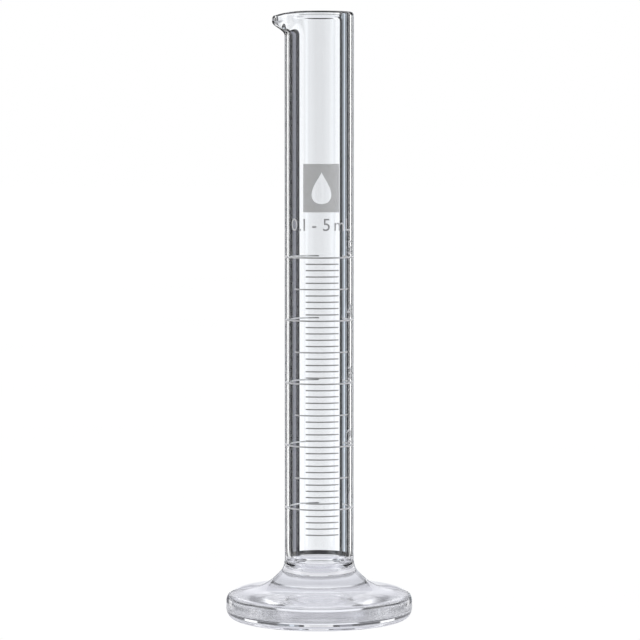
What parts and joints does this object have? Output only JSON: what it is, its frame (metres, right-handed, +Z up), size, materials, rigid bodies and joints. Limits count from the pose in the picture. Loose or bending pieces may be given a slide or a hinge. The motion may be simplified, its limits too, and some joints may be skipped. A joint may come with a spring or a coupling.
{
  "type": "graduated cylinder",
  "caption": "Small clear glass measuring cylinder with a pouring spout, a fired enamel volume scale round the tube and a round pressed glass foot fused beneath it.",
  "frame": {"origin": "centre of the foot on its resting plane", "axes": "+Z up along the tube, -X towards the pouring spout, -Y towards the middle of the scale"},
  "size_m": [0.0334, 0.0334, 0.1085],
  "materials": {
    "tube_glass": "clear, fire polished",
    "foot_glass": "clear, pressed, faintly rippled",
    "scale_enamel": "fired enamel line, satin",
    "lettering_enamel": "fired enamel, satin",
    "badge_enamel": "fired enamel, satin"
  },
  "bodies": {
    "root": {"badge_panel": "badge_enamel", "foot": "foot_glass", "half_1_5ml": "scale_enamel", "half_2_5ml": "scale_enamel", "half_3_5ml": "scale_enamel", "half_4_5ml": "scale_enamel", "legend_dash": "lettering_enamel", "legend_five": "lettering_enamel", "legend_l": "lettering_enamel", "legend_m": "lettering_enamel", "legend_one": "lettering_enamel", "legend_point": "lettering_enamel", "legend_zero": "lettering_enamel", "measuring_tube": "tube_glass", "numeral_1": "lettering_enamel", "numeral_2": "lettering_enamel", "numeral_3": "lettering_enamel", "numeral_4": "lettering_enamel", "numeral_5": "lettering_enamel", "ring_1ml": "scale_enamel", "ring_2ml": "scale_enamel", "ring_3ml": "scale_enamel", "ring_4ml": "scale_enamel", "ring_5ml": "scale_enamel", "tick_0_6ml": "scale_enamel", "tick_0_7ml": "scale_enamel", "tick_0_8ml": "scale_enamel", "tick_0_9ml": "scale_enamel", "tick_1_1ml": "scale_enamel", "tick_1_2ml": "scale_enamel", "tick_1_3ml": "scale_enamel", "tick_1_4ml": "scale_enamel", "tick_1_6ml": "scale_enamel", "tick_1_7ml": "scale_enamel", "tick_1_8ml": "scale_enamel", "tick_1_9ml": "scale_enamel", "tick_2_1ml": "scale_enamel", "tick_2_2ml": "scale_enamel", "tick_2_3ml": "scale_enamel", "tick_2_4ml": "scale_enamel", "tick_2_6ml": "scale_enamel", "tick_2_7ml": "scale_enamel", "tick_2_8ml": "scale_enamel", "tick_2_9ml": "scale_enamel", "tick_3_1ml": "scale_enamel", "tick_3_2ml": "scale_enamel", "tick_3_3ml": "scale_enamel", "tick_3_4ml": "scale_enamel", "tick_3_6ml": "scale_enamel", "tick_3_7ml": "scale_enamel", "tick_3_8ml": "scale_enamel", "tick_3_9ml": "scale_enamel", "tick_4_1ml": "scale_enamel", "tick_4_2ml": "scale_enamel", "tick_4_3ml": "scale_enamel", "tick_4_4ml": "scale_enamel", "tick_4_6ml": "scale_enamel", "tick_4_7ml": "scale_enamel", "tick_4_8ml": "scale_enamel", "tick_4_9ml": "scale_enamel"}
  },
  "joints": []
}
